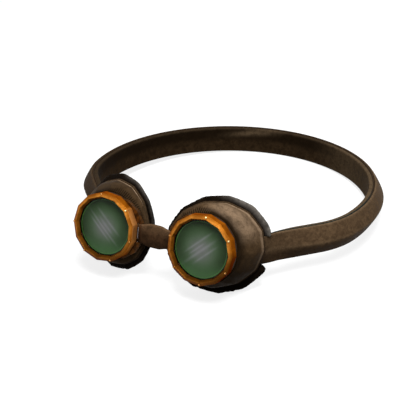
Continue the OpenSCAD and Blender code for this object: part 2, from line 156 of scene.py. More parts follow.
# Studio paper: matt for the soft shadow, and glowing a little for the eye, so that it comes out near white.
FLOOR_SIZE = 6.0
FLOOR_GREY = "#8E8E8E"
FLOOR_GLOW = 0.80
TIMES = {"operation": "MULTIPLY"}
paper, add, where = material("studio_paper")
glow = add("Math", [seen(add), FLOOR_GLOW], **TIMES)
lit = add("Emission", {"Color": (1, 1, 1, 1), "Strength": glow})
matt = add("BsdfDiffuse", {"Color": colour(FLOOR_GREY)})
add("OutputMaterial", {"Surface": add("AddShader", [matt, lit])})
floor_mesh = bpy.data.meshes.new("floor")
corners = np.array([(-1, -1, 0), (1, -1, 0), (1, 1, 0), (-1, 1, 0)]) * FLOOR_SIZE / 2
floor_mesh.from_pydata(corners.tolist(), [], [(0, 1, 2, 3)])
floor_mesh.materials.append(paper)
new_object("floor", floor_mesh)

SKY_LIGHT = 0.27
world = bpy.data.worlds.new("studio")
world.use_nodes = True
world.node_tree.nodes.clear()
add = partial(add_node, world.node_tree)
level = add("MapRange", {"Value": seen(add), "To Min": SKY_LIGHT, "To Max": 1.0})
sky = add("Background", {"Color": (1, 1, 1, 1), "Strength": level})
add("OutputWorld", {"Surface": sky})
bpy.context.scene.world = world


def lamp(name, turn, rise, far, size, watts):
    """A square soft lamp, aimed from a bearing and a height in degrees: 0 is in front, 90 on the right."""
    turn, rise = math.radians(turn), math.radians(rise)
    data = bpy.data.lights.new(name, "AREA")
    data.size, data.energy = size, watts
    out = np.array([math.sin(turn) * math.cos(rise), -math.cos(turn) * math.cos(rise), math.sin(rise)])
    side = np.cross([0, 0, 1], out)
    side /= np.linalg.norm(side)
    new_object(name, data).matrix_world = pose(side, np.cross(out, side), out, far * out)


lamp("key_lamp", turn=36, rise=64, far=0.9, size=0.32, watts=9.5)
lamp("fill_lamp", turn=-30, rise=40, far=1.1, size=0.6, watts=0.9)
lamp("back_lamp", turn=165, rise=48, far=1.1, size=0.6, watts=3.0)


# The brass rings. Each is a nut with 13 flats, turned and milled from bar: a bevelled ridge in front, a
# cone that leads the eye down to the glass, and a plain bore that stands for its thread. Handling keeps the
# ridge bright, and painted shade darkens the cone beside the glass.
RING_SIDES = 13
RING_CORNER = 20.97 * MM
RIDGE_CORNER = 19.07 * MM
RIDGE_LAND = 0.3 * MM
OPENING_CORNER = 17.45 * MM
RING_BORE_CORNER = 19.83 * MM
LIP_DEPTH = 3.0 * MM
BEVEL_DEPTH = 1.1 * MM
RING_DEPTH = 6.35 * MM
RING_ROUNDING = 0.22 * MM
GRIME_WIDTH = 1.0 * MM


def surface(name, points, round_u=False, round_v=True, marks=None, crease=None):
    """A closed sheet of quads through a grid points[u, v]: the last row or column meets the first where it
    runs round, and one face closes each open end. The UV map runs from 0 to 1 along each direction, and
    marks are numbers kept on the points."""
    n, m = points.shape[:2]
    i, j = np.meshgrid(np.arange(n if round_u else n - 1), np.arange(m if round_v else m - 1),
                       indexing="ij")
    ring_i, ring_j = np.stack([i, i + 1, i + 1, i], -1), np.stack([j, j, j + 1, j + 1], -1)
    mesh = bpy.data.meshes.new(name)
    mesh.from_pydata(points.reshape(-1, 3).tolist(), [],
                     (ring_i % n * m + ring_j % m).reshape(-1, 4).tolist())
    uv = np.stack([ring_i / n, ring_j / m], -1).astype(np.float32).ravel()
    mesh.uv_layers.new(name="UVMap").data.foreach_set("uv", uv)
    for key, value in (marks or {}).items():
        kept = np.broadcast_to(value, (n, m)).astype(np.float32).ravel()
        mesh.attributes.new(key, "FLOAT", "POINT").data.foreach_set("value", kept)
    work = bmesh.new()
    work.from_mesh(mesh)
    bmesh.ops.holes_fill(work, edges=[e for e in work.edges if e.is_boundary])
    bmesh.ops.recalc_face_normals(work, faces=work.faces)
    work.to_mesh(mesh)
    work.free()
    mesh.shade_smooth()
    if crease:
        mesh.set_sharp_from_angle(angle=math.radians(crease))
    return new_object(name, mesh)


def circle(n):
    """n even angles round a circle."""
    return 2 * math.pi * np.arange(n) / n


def fit(piece, finish, node, body="goggles"):
    """Gives a piece its material and its body, and hides the solid that it stands for."""
    piece.data.materials.clear()
    piece.data.materials.append(finish)
    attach(piece, body)
    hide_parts(node)


TIMES_PLUS = {"operation": "MULTIPLY_ADD"}


def eye_coordinates(add, where):
    """Places from the nearer lens's middle, in metres: out, back, up and distance from the lens's axis. The
    last number is 1 for the right eye and -1 for the left."""
    turned = add("Mapping", {"Vector": where, "Location": (0, *eye_middle["right"][1:]),
                             "Rotation": (math.atan2(BACK[2], BACK[1]), 0, 0)}, vector_type="TEXTURE")
    across, back, up = add("SeparateXYZ", [turned]).outputs
    out = add("Math", [across], operation="ABSOLUTE")
    out = add("Math", [out, EYE_APART], operation="SUBTRACT")
    radius = add("Math", [out, out], **TIMES)
    radius = add("Math", [up, up, radius], **TIMES_PLUS)
    radius = add("Math", [radius], operation="SQRT")
    return out, back, up, radius, add("Math", [across], operation="SIGN")


def layered(add, under, *coats):
    """A colour with others laid over it, each by its own factor."""
    under = colour(under)
    for factor, code in coats:
        under = add("Mix", [factor, under, colour(code)], data_type="RGBA")
    return under


# Milled brass, waxed and worn: orange-brown in blotches, pale where fingers polish the ridge. Painted shade
# darkens the cone and the side towards the floor, most at the right ring's lower right, and a painted
# highlight brightens the left ring's flats beside the nose. Blotches and scratches are drawn coarse, so
# that they show.
SOFT = {"interpolation_type": "SMOOTHSTEP"}
BRASS_BLOTCH = 5 * MM
BRASS_SCRATCH = 0.9 * MM
brass, add, where = material("waxed_brass")
out, back, up, radius, side_of = eye_coordinates(add, where)
cloud = add("TexNoise", [where, 1 / BRASS_BLOTCH, 5.0, 0.6])
scratch = add("TexNoise", [where, 1 / BRASS_SCRATCH, 4.0, 0.7])
blotch = add("MapRange", [cloud, 0.3, 0.7], **SOFT)
ridge = add("MapRange", [back, 1.0 * MM, 0.05 * MM], **SOFT)
worn = add("MapRange", [cloud, 0.35, 0.65, 0.35, 1.0], **SOFT)
worn = add("Math", [ridge, worn], **TIMES)
# Painted shade: the cone beside the glass is darkened.
sunk = add("MapRange", [back, 1.2 * MM, LIP_DEPTH], **SOFT)
cone = add("MapRange", [radius, 19.6 * MM, 18.4 * MM], **SOFT)
cone = add("Math", [sunk, cone], **TIMES)
# Painted shade towards the floor, and more at the right ring's lower right.
low = add("MapRange", [up, 10 * MM, -18 * MM, 0.0, 0.72], **SOFT)
low_right = add("Math", [up, -0.6, out], **TIMES_PLUS)
low_right = add("MapRange", [low_right, 16 * MM, 23 * MM, 0.0, 0.7], **SOFT)
low_right = add("Math", [low_right, side_of], use_clamp=True, **TIMES)
behind = add("MapRange", [back, 0.9 * MM, 1.3 * MM], **SOFT)
flats = add("MapRange", [radius, 19.9 * MM, 20.3 * MM], **SOFT)
flats = add("Math", [behind, flats], **TIMES)
# Painted highlight on the left ring's flats beside the nose, strongest high up.
flat_highlight = add("MapRange", [out, -14 * MM, -18 * MM, 0.0, -0.85], **SOFT)
flat_highlight = add("Math", [flat_highlight, side_of], use_clamp=True, **TIMES)
flat_highlight = add("Math", [flat_highlight, flats], **TIMES)
high = add("MapRange", [up, -16 * MM, 2 * MM, 0.2, 1.0], **SOFT)
flat_highlight = add("Math", [flat_highlight, high], **TIMES)
grime = add("Attribute", attribute_name="grime").outputs["Fac"]
grime = add("MapRange", [grime, 0.3, 0.5], **SOFT)
tint = layered(add, "#74400D", (blotch, "#965815"), (cone, "#57300A"), (worn, "#B2712A"), (low, "#361D04"),
               (low_right, "#361D04"), (flat_highlight, "#CF9050"), (grime, "#0B0804"))
rough = add("MapRange", [scratch, 0.3, 0.75, 0.30, 0.48], **SOFT)
rough = add("Math", [flats, 0.2, rough], **TIMES_PLUS)
shine = add("Math", [flats, 0.5, 0.5], **TIMES_PLUS)
dents = add("Bump", {"Height": scratch, "Strength": 0.12, "Distance": 0.15 * MM})
shade = add("BsdfPrincipled", {
    "Base Color": tint, "Metallic": shine, "Roughness": rough, "Normal": dents,
    "Specular IOR Level": 0.12, "Specular Tint": colour("#B8742A")})
add("OutputMaterial", [shade])

# The ring's section, from the back of its flats round to the back of its bore: corner radius and depth.
cone_line = np.array([RIDGE_CORNER - RIDGE_LAND - OPENING_CORNER, -LIP_DEPTH])
grime_edge = np.array([OPENING_CORNER, LIP_DEPTH]) + GRIME_WIDTH * cone_line / np.linalg.norm(cone_line)
profile = np.array([(RING_CORNER, RING_DEPTH), (RING_CORNER, BEVEL_DEPTH), (RIDGE_CORNER, 0.0),
                    (RIDGE_CORNER - RIDGE_LAND, 0.0), tuple(grime_edge), (OPENING_CORNER, LIP_DEPTH),
                    (RING_BORE_CORNER, LIP_DEPTH), (RING_BORE_CORNER, RING_DEPTH)])
corner_angle = circle(RING_SIDES)
for side in SIDES:
    points = at_eye(side, np.outer(np.cos(corner_angle), profile[:, 0]), profile[:, 1],
                    np.outer(np.sin(corner_angle), profile[:, 0]))
    ring = surface(f"{side}_screw_ring", points, round_u=True, crease=20,
                   marks={"grime": np.array([0, 0, 0, 0, 0, 1, 1, 1])})
    rounded = ring.modifiers.new("rounding", "BEVEL")
    rounded.width, rounded.segments = RING_ROUNDING, 3
    rounded.limit_method, rounded.angle_limit = "ANGLE", math.radians(18)
    rounded.harden_normals = True
    fit(ring, brass, f"{side}_lens_ring", body=f"{side}_ring")

# The studs: pins of pale brass, driven into holes at every other corner of a ring for grip and polished by
# fingers. A painted highlight keeps those that face up and to the right bright; painted shade darkens the
# rest.
STUD_FLECK = 0.6 * MM
pale_brass, add, where = material("polished_brass")
out, _, up, _, side_of = eye_coordinates(add, where)
speck = add("TexNoise", [where, 1 / STUD_FLECK, 3.0])
bright = add("MapRange", [speck, 0.35, 0.7], **SOFT)
# Painted shade on the studs that do not face up and to the right.
handed = add("Math", [out, side_of, up], **TIMES_PLUS)
stud_shade = add("MapRange", [handed, 21.5 * MM, 17.5 * MM, 0.0, 0.92], **SOFT)
tint = layered(add, "#D9B36A", (bright, "#F4DFA8"), (stud_shade, "#9A6428"))
rough = add("MapRange", [speck, 0.3, 0.7, 0.12, 0.26], **SOFT)
shade = add("BsdfPrincipled", {"Base Color": tint, "Metallic": 0.9, "Roughness": rough})
add("OutputMaterial", [shade])


def finish_solids(node, finish):
    """Puts a material on each eye's solid of one kind, which stays as it is."""
    for side in SIDES:
        solid = frame["nodes"][f"{side}_{node}"]
        solid.data.materials.clear()
        solid.data.materials.append(finish)


finish_solids("ring_studs", pale_brass)

# The glasses: green tinted discs, ground with a faint dome. Their middles carry a painted reflection, a
# grey bloom with a few soft streaks, the rims are darker, and a painted highlight lights the ground edge as
# a thin green line.
GLASS_RADIUS = 18.0 * MM
GLASS_FRONT = 3.4 * MM
GLASS_BACK = 5.6 * MM
GLASS_DOME = 220 * MM
GLASS_RINGS = 72
GLASS_TURNS = 156
GLASS_HUB = 0.004
SMOKE_SIZE = 9 * MM
BLOOM_STRENGTH = 0.85
BLOOM_REACH = 0.42
STREAK_STRENGTH = 0.31
STREAK_REACH = 0.85
# Each streak: its slant in degrees, how far its middle lies along and across the slant, and its half
# length and half width, as shares of the glass's radius.
STREAKS = {"right": [(42, 0.06, 0.24, 0.53, 0.034), (42, -0.11, -0.03, 0.65, 0.045),
                     (42, 0.02, -0.22, 0.45, 0.034), (42, -0.10, 0.10, 0.30, 0.030)],
           "left": [(-43, 0.0, -0.05, 0.72, 0.034), (-42, -0.04, 0.24, 0.52, 0.040),
                    (-43, -0.06, -0.18, 0.48, 0.034), (-43, 0.02, 0.08, 0.34, 0.045)]}

# Green glass, smoky and a little see-through. The marks give the distance from the middle and the height as
# shares of the radius, and how strong the painted reflection's bloom and streaks are.
glass, add, where = material("green_tinted_glass")
bloom, streak, reach, height = (add("Attribute", attribute_name=mark).outputs["Fac"]
                                for mark in ("bloom", "streak", "reach", "height"))
smoke = add("TexNoise", [where, 1 / SMOKE_SIZE, 3.0])
outer = add("MapRange", [reach, 0.35, 0.85], **SOFT)
low = add("MapRange", [height, -0.2, -0.95], **SOFT)
# A painted highlight: a thin green line along the ground edge.
within = add("MapRange", [reach, 0.925, 0.91, 0.0, 0.8], **SOFT)
line = add("MapRange", [reach, 0.89, 0.905], **SOFT)
line = add("Math", [line, within], **TIMES)
edge = add("MapRange", [reach, 0.928, 0.94], **SOFT)
smoke = add("MapRange", [smoke, 0.4, 0.7, 0.0, 0.25], **SOFT)
tint = layered(add, "#325128", (outer, "#1A3010"), (low, "#3C6136"), (bloom, "#706F70"),
               (streak, "#929397"), (line, "#477239"), (edge, "#070A05"), (smoke, "#33492D"))
shade = add("BsdfPrincipled", {
    "Base Color": tint, "Roughness": 0.14, "IOR": 1.5, "Specular IOR Level": 0.05,
    "Transmission Weight": 0.18})
add("OutputMaterial", [shade])

turn = circle(GLASS_TURNS)
for side in SIDES:
    share = np.linspace(0.0, 1.0, GLASS_RINGS)
    radius = np.concatenate([np.maximum(share, GLASS_HUB), [1.0, GLASS_HUB]]) * GLASS_RADIUS
    dome = np.sqrt(GLASS_DOME ** 2 - radius ** 2) - math.sqrt(GLASS_DOME ** 2 - GLASS_RADIUS ** 2)
    depth = np.where(np.arange(radius.size) < GLASS_RINGS, GLASS_FRONT - dome, GLASS_BACK)
    out, up = np.outer(np.cos(turn), radius), np.outer(np.sin(turn), radius)
    reach = np.broadcast_to(radius / GLASS_RADIUS, out.shape)
    # The painted reflection: a grey bloom in the middle and soft streaks across it.
    bloom = BLOOM_STRENGTH * np.exp(-(reach / BLOOM_REACH) ** 2)
    streak = np.zeros_like(out)
    x, y = SIDES[side] * out / GLASS_RADIUS, up / GLASS_RADIUS
    for slant, middle_along, middle_across, half_length, half_width in STREAKS[side]:
        slant = math.radians(slant)
        along = x * math.cos(slant) + y * math.sin(slant) - middle_along
        across = -x * math.sin(slant) + y * math.cos(slant) - middle_across
        fade = (along / half_length) ** 4 + (across / half_width) ** 2 + (reach / STREAK_REACH) ** 4
        streak += STREAK_STRENGTH * np.exp(-fade)
    disc = surface(f"{side}_glass", at_eye(side, out, depth, up), round_u=True, round_v=False, crease=35,
                   marks={"bloom": bloom, "streak": np.clip(streak, 0, 1), "reach": reach,
                          "height": up / GLASS_RADIUS})
    fit(disc, glass, f"{side}_lens")

# The slip washers and gaskets, punched from sheet. A red fibre washer, matt and finely flecked, lets the
# ring turn without dragging the glass round. A rubber gasket, matt black with a faint grey bloom, beds the
# glass in its collar.
FIBRE_FLECK = 0.5 * MM
RUBBER_BLOOM = 1.5 * MM
fibre, add, where = material("vulcanised_fibre")
fleck = add("TexNoise", [where, 1 / FIBRE_FLECK, 3.0])
pale = add("MapRange", [fleck, 0.35, 0.65], **SOFT)
dents = add("Bump", {"Height": fleck, "Strength": 0.2, "Distance": 0.05 * MM})
tint = layered(add, "#5E3220", (pale, "#8A4F33"))
shade = add("BsdfPrincipled", {"Base Color": tint, "Roughness": 0.7, "Normal": dents})
add("OutputMaterial", [shade])

rubber, add, where = material("moulded_black_rubber")
bloom = add("TexNoise", [where, 1 / RUBBER_BLOOM, 4.0])
pale = add("MapRange", [bloom, 0.4, 0.7], **SOFT)
rough = add("MapRange", [bloom, 0.3, 0.7, 0.5, 0.75], **SOFT)
tint = layered(add, "#141414", (pale, "#262523"))
shade = add("BsdfPrincipled", {"Base Color": tint, "Roughness": rough})
add("OutputMaterial", [shade])
finish_solids("slip_washer", fibre)
finish_solids("lens_gasket", rubber)

# The collars: brass tubes that hold the glass and carry the ring's thread. Behind the ring their flanges
# are nearly black, with old wax and painted shade, and only the 13-sided ledge that holds the bridge is
# rubbed back to brass.
FLANGE_RADIUS = 20.2 * MM
COLLAR_STAIN = 2.5 * MM
patina, add, where = material("patinated_brass")
_, _, _, radius, _ = eye_coordinates(add, where)
stain = add("TexNoise", [where, 1 / COLLAR_STAIN, 5.0])
ledge = add("MapRange", [radius, FLANGE_RADIUS + 0.05 * MM, FLANGE_RADIUS + 0.5 * MM], **SOFT)
waxed_and_shaded = add("MapRange", [stain, 0.3, 0.7], **SOFT)
rubbed = add("MapRange", [stain, 0.35, 0.7], **SOFT)
# The flanges are nearly black: partly old wax, partly painted shade behind the ring.
tint = add("Mix", [ledge, layered(add, "#1C120A", (waxed_and_shaded, "#33200F")),
                   layered(add, "#2B1805", (rubbed, "#54310A"))], data_type="RGBA")
rough = add("MapRange", [stain, 0.3, 0.7, 0.38, 0.6], **SOFT)
shade = add("BsdfPrincipled", {
    "Base Color": tint, "Metallic": 0.4, "Specular IOR Level": 0.12, "Roughness": rough})
add("OutputMaterial", [shade])
finish_solids("collar", patina)

# The bridge pins and clamp rings: bright drawn steel with fine lines along it. The pins show beside the
# rings as a short grey bar, and the clamp rings grip the leather from inside the cup.
DRAWN_LINE = 0.15 * MM
DRAWN_RUN = 3 * MM
steel, add, where = material("drawn_steel")
line = add("Mapping", {"Vector": where, "Scale": (1 / DRAWN_LINE, 1 / DRAWN_LINE, 1 / DRAWN_RUN)})
drawn = add("TexNoise", [line, 1.0, 3.0])
pale = add("MapRange", [drawn, 0.3, 0.7], **SOFT)
rough = add("MapRange", [drawn, 0.3, 0.7, 0.25, 0.42], **SOFT)
tint = layered(add, "#A6A6AA", (pale, "#D2D3D8"))
shade = add("BsdfPrincipled", {"Base Color": tint, "Metallic": 1.0, "Roughness": rough})
add("OutputMaterial", [shade])
for node in ("bridge_pin", "clamp_ring"):
    finish_solids(node, steel)

# The eye cups: waxed cowhide, 2 mm thick, wetted and pressed over a 13-sided former, so the flanks are soft
# flats that widen to the temple. The front edge is gathered under the collar beside the nose. The hide is
# blotched, pale along the brim, and carries a painted highlight on the belly and painted shade beside the
# brass and along the cheek.
SHOULDER = 21.4 * MM
CUP_WALL = 2.0 * MM
FLANGE_BACK = 8.9 * MM
CLAMP_FRONT = 10.9 * MM
SHOULDER_DROP = 0.7 * MM
SHOULDER_ROUND = 0.9 * MM
BRIM_ROUND = 0.25 * MM
CUP_HOLE = 18.0 * MM
RIM_ACROSS = 28.0 * MM
RIM_UP = 25.0 * MM
RIM_TURN = math.radians(20.3)
RIM_LEAN = math.radians(3.5)
RIM_SHIFT = 1.3 * MM
RIM_DEPTH = 9.7 * MM + RIM_ACROSS * math.sin(RIM_TURN)
CUP_BELLY = 1.5 * MM
CUP_WAVE = 0.10 * MM
SIDE_FLATNESS = 0.8
CORNER_SOFTNESS = math.radians(1.6)
ROUND_STEPS = 40
EDGE_STEPS = 9
FLANK_STEPS = 40
GATHERS = 104
GATHER_DEPTH = 0.22 * MM
GATHER_REACH = 0.19
GATHER_MIDDLE = math.radians(140)
BELLY_HIGHLIGHT_MIDDLE = math.radians(58)
SHADED = {"right": 0.0, "left": 0.62}
LOW_SHADE = {"right": 0.93, "left": 0.6}
INSIDE_DARKER = 0.75
rim_x = np.array([math.cos(RIM_TURN), math.sin(RIM_TURN), 0.0])
rim_z = np.array([0.0, math.sin(RIM_LEAN), math.cos(RIM_LEAN)])
rim_back = np.cross(rim_z, rim_x) / np.linalg.norm(np.cross(rim_z, rim_x))


def sided(a):
    """How far out a soft 13-sided outline lies at angle a, as a share of its circle: the cosine of half a
    side's angle over the cosine of the angle from the side's middle, with eased corners."""
    half = math.pi / RING_SIDES
    from_corner = half - np.abs(np.mod(a, 2 * half) - half)
    d = half - np.sqrt(from_corner ** 2 + CORNER_SOFTNESS ** 2)
    flat = math.cos(half) / np.cos(d) / (1 + math.cos(half)) * 2
    return 1 + SIDE_FLATNESS * (flat - 1)


def rim_point(a, out, back):
    """Points near the cup's rim, a soft 13-sided oval, at angle a: out from the rim in its own plane, and
    back from that plane."""
    a, out, back = np.broadcast_arrays(a, out, back)
    wide = ((RIM_ACROSS + out) * sided(a) * np.cos(a))[..., None]
    tall = ((RIM_UP + out) * sided(a) * np.sin(a))[..., None]
    return np.array([RIM_SHIFT, RIM_DEPTH, 0.0]) + wide * rim_x + tall * rim_z + back[..., None] * rim_back


def round_axis(a, r, back):
    """Points in an eye's axes: r times the cosine of a out, r times its sine up, and back from the lens."""
    a, r, back = np.broadcast_arrays(a, r, back)
    return np.stack([r * np.cos(a), back, r * np.sin(a)], -1)


def smooth(t):
    """0 before 0, 1 after 1, and between them an even s-curve, three squares less two cubes."""
    t = np.clip(t, 0, 1)
    return t * t * (3 - 2 * t)


def hide(name, pale, deep, worn, dark, blotch=4.5 * MM, grain=0.75 * MM, rough=(0.5, 0.72), bump=0.25):
    """Waxed leather: two browns in soft blotches and a pebbled grain, drawn about twice as coarse as a real
    one so that it shows. The mark called wear makes it pale, with wear and painted highlights, and the mark
    called shade darkens it, mostly with painted shade."""
    made, add, where = material(name)
    cloud = add("TexNoise", {"Vector": where, "Scale": 1 / blotch, "Detail": 4.0, "Roughness": 0.62,
                             "Distortion": 0.4})
    broad = add("TexNoise", [where, 1 / (4 * blotch), 2.0])
    pebble = add("TexVoronoi", {"Vector": where, "Scale": 1 / grain}, feature="SMOOTH_F1")
    wrinkle = add("TexNoise", [where, 1 / (2.2 * grain), 4.0, 0.6])
    light = add("MapRange", [cloud, 0.32, 0.68], **SOFT)
    heavy = add("MapRange", [broad, 0.35, 0.7, 0.0, 0.45], **SOFT)
    # The shade mark is mostly painted shade; the wear mark is wear and painted highlights.
    stain = add("Attribute", attribute_name="shade").outputs["Fac"]
    rubbed = add("Attribute", attribute_name="wear").outputs["Fac"]
    patchy = add("MapRange", [cloud, 0.25, 0.6, 0.45, 1.0], **SOFT)
    rubbed = add("Math", [rubbed, patchy], **TIMES)
    pits = add("MapRange", [pebble, 0.15, 0.75, 0.0, 0.22], **SOFT)
    tint = layered(add, deep, (light, pale), (heavy, deep), (stain, dark), (rubbed, worn), (pits, dark))
    level = add("Math", [wrinkle, 0.8, pebble], **TIMES_PLUS)
    dents = add("Bump", {"Height": level, "Strength": bump, "Distance": 0.25 * MM})
    roughness = add("MapRange", [cloud, 0.3, 0.7, *rough], **SOFT)
    shade = add("BsdfPrincipled", {
        "Base Color": tint, "Normal": dents, "Roughness": roughness,
        "Specular IOR Level": 0.02, "Specular Tint": colour("#9A7A58")})
    add("OutputMaterial", [shade])
    return made


cup_hide = hide("waxed_cowhide", "#5A4631", "#3D2E1E", "#B0957A", "#140D06")

# Its section runs from the hole over the face, round the shoulder, down the flank, over the brim and back
# up inside to the seat of the clamp ring.
a = circle(RING_SIDES * ROUND_STEPS)[:, None]
shoulder = SHOULDER * sided(a)
under = shoulder - CUP_WALL
top, low = round_axis(a, shoulder, FLANGE_BACK + SHOULDER_DROP), round_axis(a, under, CLAMP_FRONT)
outwards = round_axis(a, 1.0, 0.0)
t = np.linspace(0.0, 1.0, FLANK_STEPS)[None, :]
belly = CUP_BELLY * outwards * np.sin(math.pi * t)[..., None]
flank = top + (rim_point(a, 0.0, 0.0) - top) * t[..., None] + belly
inside = low + (rim_point(a, -CUP_WALL, 0.0) - low) * t[..., None] + belly
turn_in = np.linspace(0.0, 1.0, EDGE_STEPS)[None, :]
face = round_axis(a, CUP_HOLE + (shoulder - SHOULDER_ROUND - CUP_HOLE) * turn_in, FLANGE_BACK)
bend = np.linspace(0.0, math.pi / 2, 6)[None, 1:-1]
arc = round_axis(a, shoulder - SHOULDER_ROUND * (1 - np.sin(bend)),
                 FLANGE_BACK + SHOULDER_DROP * (1 - np.cos(bend)))
brim = np.linspace(0.0, 1.0, 5)[None, 1:-1]
brim = rim_point(a, -CUP_WALL * brim, BRIM_ROUND * np.sin(math.pi * brim))
seat = round_axis(a, (CUP_HOLE + (under - CUP_HOLE) * (1 - turn_in))[:, 1:], CLAMP_FRONT)
grid = np.concatenate([face, arc, flank, brim, inside[:, ::-1], seat], 1)
n_front = face.shape[1] + arc.shape[1]
along = np.concatenate([np.zeros(n_front), t[0], np.ones(brim.shape[1]), t[0, ::-1],
                        np.zeros(seat.shape[1])])[None, :]

# The front edge is gathered in narrow pleats beside the nose, and slow waves run all round the flank.
column = np.arange(grid.shape[1])[None, :]
outer = column <= n_front + FLANK_STEPS
near_nose = smooth((np.cos(a - GATHER_MIDDLE) - 0.55) / 0.3)
pleat = (0.5 - 0.5 * np.cos(GATHERS * a)) ** 2 * near_nose * np.exp(-(along / GATHER_REACH) ** 2) * outer
pleat = pleat * smooth((column - 4) / 6)
wave = np.sin(5 * a + 6 * along) * np.sin(3 * a - 4 * along + 1) * np.sin(math.pi * along) * outer
grid = grid + (CUP_WAVE * wave - GATHER_DEPTH * pleat)[..., None] * outwards

# Painted shade darkens the hide beside the brass, beside the nose, in the pleats, low on the cheek and all
# over the left cup, and the inside is evenly darker. The brim is pale with wear and a painted highlight,
# and the belly carries a painted highlight.
low_side = smooth((0.5 - np.sin(a + 0.1)) / 1.1)
nose_side = smooth((0.1 - np.cos(a)) / 0.9)
beside_brass = 0.88 * smooth((0.36 - along) / 0.36) * (1 - 0.65 * near_nose)
beside_nose = 0.55 * nose_side * (1 - 0.5 * near_nose)
# The brim is pale with wear and a painted highlight, less on the low side.
on_brim = 1.4 * smooth((along - 0.80) / 0.12) * (0.3 + 0.7 * nose_side) * (1 - 0.8 * low_side)
# A painted highlight on the belly, centred towards the upper right.
belly_highlight = smooth((np.cos(a - BELLY_HIGHLIGHT_MIDDLE) - 0.64) / 0.36) * np.sin(math.pi * along ** 0.8)
for side in SIDES:
    all_over = SHADED[side] * (1 - 0.4 * near_nose)
    # Painted shade beside the brass, beside the nose, over the left cup, low on the cheek and in the
    # pleats.
    cup_shade = np.maximum(np.maximum(beside_brass, beside_nose), np.maximum(all_over, LOW_SHADE[side] * low_side))
    cup_shade = np.where(outer, cup_shade + 2.4 * pleat, INSIDE_DARKER)
    rubbed = np.where(outer, on_brim + 0.36 * (1 - 1.5 * SHADED[side]) * belly_highlight, 0.0)
    cup = surface(f"{side}_leather_cup", at_eye(side, *np.moveaxis(grid, -1, 0)), round_u=True, crease=50,
                  marks={"shade": np.clip(cup_shade, 0, 1), "wear": np.clip(rubbed, 0, 1)})
    fit(cup, cup_hide, f"{side}_cup")

# The welts: a thin roll of dark leather round a cord, laid between each cup's rim and its cushion and sewn
# through with both.
WELT_RADIUS = 0.95 * MM
WELT_INSET = 0.2 * MM
WELT_GAP = 0.1 * MM
welt_hide = hide("rolled_welt_leather", "#2E2218", "#1B130C", "#55432F", "#0C0805", blotch=2.5 * MM)
b = circle(20)[None, :]
ring = rim_point(a, WELT_RADIUS * np.cos(b) - WELT_INSET, WELT_RADIUS * (1 + np.sin(b)) + WELT_GAP)
# Pale along the upper outer side of the roll: wear with a painted highlight.
rubbed = 0.45 * smooth((np.cos(b + 0.9) - 0.3) / 0.6) * smooth((np.sin(a) + 0.3) / 0.8)
for side in SIDES:
    welt = surface(f"{side}_welt", at_eye(side, *np.moveaxis(ring, -1, 0)), round_u=True,
                   marks={"wear": rubbed, "shade": 0.2})
    fit(welt, welt_hide, f"{side}_cup_welt")

# The bridge: one strip of leather folded over both pins and glued to itself. Its ends are cut away at the
# middle, so the pins show, and its edges are rounded by wear.
PIN_OUT = 20.45 * MM
PIN_DEPTH = 7.7 * MM
LOOP_RADIUS = 1.0 * MM
BRIDGE_THICK = 2.5 * MM
BRIDGE_HEIGHT = 14.0 * MM
LOOP_HALF_HEIGHT = 5.6 * MM
BRIDGE_AHEAD = 0.9 * MM
LOOP_CLEAR = 0.3 * MM
LOOP_LEAD = 1.4 * MM
LOOP_SHADE = 4 * MM
WINDOW_HEIGHT = 7.2 * MM
PIN_HOLE = 0.55 * MM
BRIDGE_WAVE = 0.14 * MM
FACE_ROUND = 0.45
EDGE_SQUARE = 0.12
bridge_hide = hide("folded_bridge_leather", "#432F1F", "#2A1D12", "#6A523B", "#120C07", blotch=3.5 * MM)

# Along the strip, its round loops lead into a flat and taller middle; v runs round its rounded section.
reach = EYE_APART - PIN_OUT
x = np.sin(np.linspace(-math.pi / 2, math.pi / 2, 121))[:, None] * (reach + LOOP_RADIUS)
past = np.clip(np.abs(x) - reach, 0, LOOP_RADIUS)
round_end = np.sqrt(np.maximum(LOOP_RADIUS ** 2 - past ** 2, (0.02 * MM) ** 2))
lead = smooth((reach - LOOP_RADIUS - LOOP_CLEAR - np.abs(x)) / LOOP_LEAD)
flat_front = PIN_DEPTH - LOOP_RADIUS - BRIDGE_AHEAD
front = (PIN_DEPTH - round_end) * (1 - lead) + flat_front * lead
rear = (PIN_DEPTH + round_end) * (1 - lead) + (flat_front + BRIDGE_THICK) * lead
tall = LOOP_HALF_HEIGHT + (BRIDGE_HEIGHT / 2 - LOOP_HALF_HEIGHT) * smooth(
    (reach - LOOP_RADIUS - 1.5 * MM - np.abs(x)) / (reach - 5 * MM))
v = circle(64)[None, :]
box_x = np.sign(np.cos(v)) * np.abs(np.cos(v)) ** FACE_ROUND
box_z = np.sign(np.sin(v)) * np.abs(np.sin(v)) ** EDGE_SQUARE
rise = tall * box_z
sag = BRIDGE_WAVE * np.cos(x / reach * math.pi / 2) * np.sin(3 * x / reach + 2) * lead
depth = (front + rear) / 2 + (rear - front) / 2 * box_x + sag
# Painted highlight along the top edge, and painted shade beside the loops by the rings and over the lower
# half.
rubbed = 0.75 * smooth((box_z - 0.35) / 0.7) * (box_x < 0.3)
darkened = 0.6 * smooth((np.abs(x) - reach + LOOP_SHADE) / LOOP_SHADE) + 0.45 * smooth(-box_z)
bridge = surface("nose_bridge_strip", at_eye("right", x - EYE_APART, depth, rise), crease=60,
                 marks={"wear": rubbed, "shade": np.clip(darkened, 0, 1)})


def settled(piece):
    """A piece's mesh with its modifiers worked in."""
    return bpy.data.meshes.new_from_object(piece.evaluated_get(bpy.context.evaluated_depsgraph_get()))


def cut_away(piece, cutter):
    """Cuts one closed mesh out of another and drops the cutter."""
    knife = piece.modifiers.new("cut", "BOOLEAN")
    knife.operation, knife.solver, knife.object = "DIFFERENCE", "EXACT", cutter
    piece.data = settled(piece)
    piece.modifiers.clear()
    bpy.data.objects.remove(cutter)


